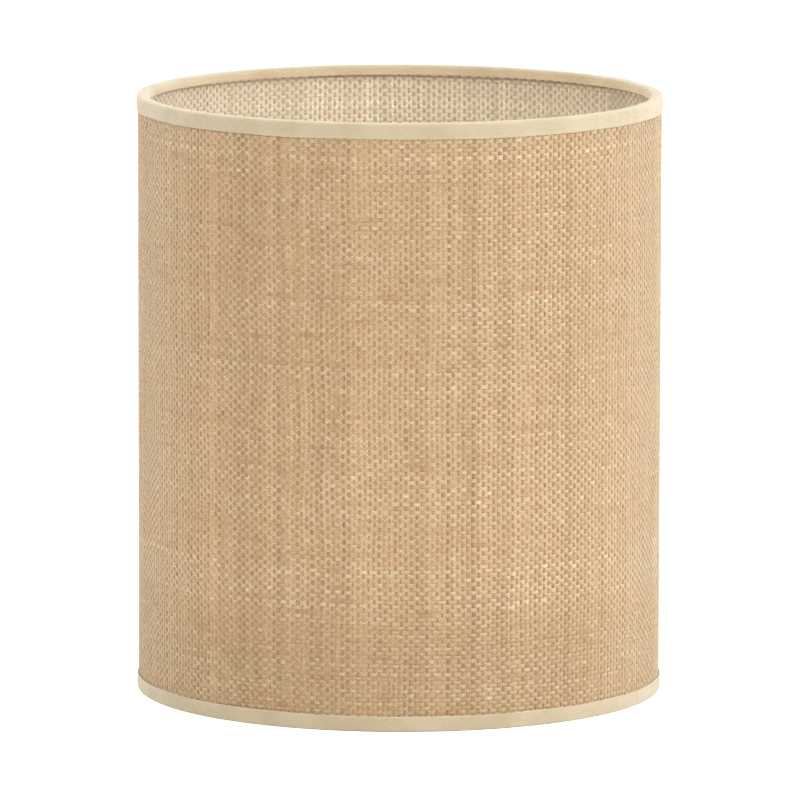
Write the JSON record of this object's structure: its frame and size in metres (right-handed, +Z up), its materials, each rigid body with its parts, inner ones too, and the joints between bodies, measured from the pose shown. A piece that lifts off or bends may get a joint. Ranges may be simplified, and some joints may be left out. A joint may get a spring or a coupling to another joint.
{
  "type": "drum lamp shade",
  "caption": "Straight drum lamp shade of woven raffia on a film liner, edged with folded tape over wire rings, with a low three-armed lamp fitter.",
  "frame": {"origin": "centre of the lower rim, in the plane that the shade stands on", "axes": "+Z up along the drum's axis; the cloth's lap is at the back right, 28 to 36 degrees from +X towards +Y"},
  "size_m": [0.22, 0.2198, 0.251],
  "materials": {
    "raffia": "plain-woven natural raffia, matt",
    "liner_film": "frosted translucent film",
    "adhesive_tape": "thin double-sided adhesive tape",
    "cotton_tape": "cream woven cotton tape, matt",
    "steel_wire": "drawn bright wire",
    "coated_steel": "white powder coat, satin"
  },
  "bodies": {
    "root": {"raffia_cover": "raffia", "film_liner": "liner_film", "seam_tape": "adhesive_tape", "top_edge_tape": "cotton_tape", "bottom_edge_tape": "cotton_tape", "top_wire_ring": "steel_wire", "bottom_wire_ring": "steel_wire", "fitter_arm_1": "coated_steel", "fitter_arm_2": "coated_steel", "fitter_arm_3": "coated_steel", "fitter_ring": "coated_steel"}
  },
  "joints": []
}
